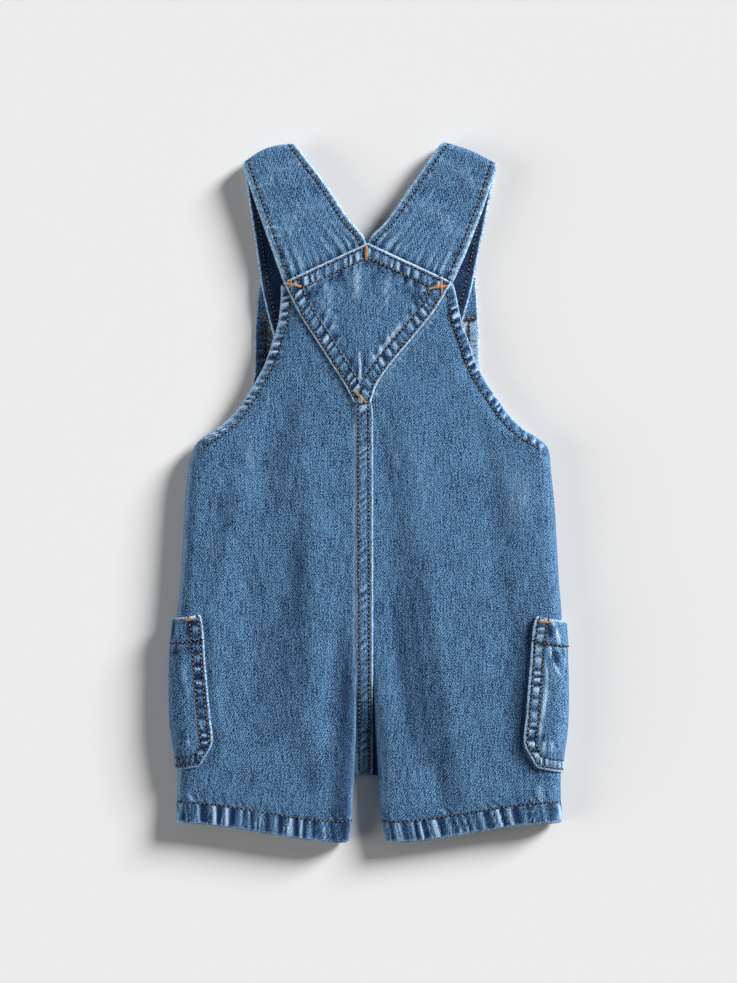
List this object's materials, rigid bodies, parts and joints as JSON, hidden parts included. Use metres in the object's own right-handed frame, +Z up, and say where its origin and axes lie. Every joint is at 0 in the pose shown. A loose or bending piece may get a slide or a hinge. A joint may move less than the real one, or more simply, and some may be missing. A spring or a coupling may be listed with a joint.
{
  "type": "baby's denim shortalls",
  "caption": "Baby's denim shortalls laid flat face down, with a triangular back yoke, wide straps, side cargo pockets and turned leg hems.",
  "frame": {"origin": "on the surface the garment lies on, at the middle of its width and length", "axes": "+X to the right seen from above, +Y from the leg hems towards the shoulders, +Z up, out of the garment's back"},
  "size_m": [0.2866, 0.5007, 0.0204],
  "materials": {
    "denim": "washed twill",
    "denim_inside": "pale wrong side of the twill",
    "button_metal": "matt, aged"
  },
  "bodies": {
    "root": {"back_left": "denim", "back_right": "denim", "yoke": "denim", "strap_left": "denim", "strap_right": "denim", "front_left": "denim", "front_right": "denim", "bib_facing": "denim", "hem_back_left": "denim", "hem_front_left": "denim", "hem_back_right": "denim", "hem_front_right": "denim", "pocket_left": "denim", "pocket_right": "denim", "button_left": "button_metal", "button_right": "button_metal"}
  },
  "joints": []
}
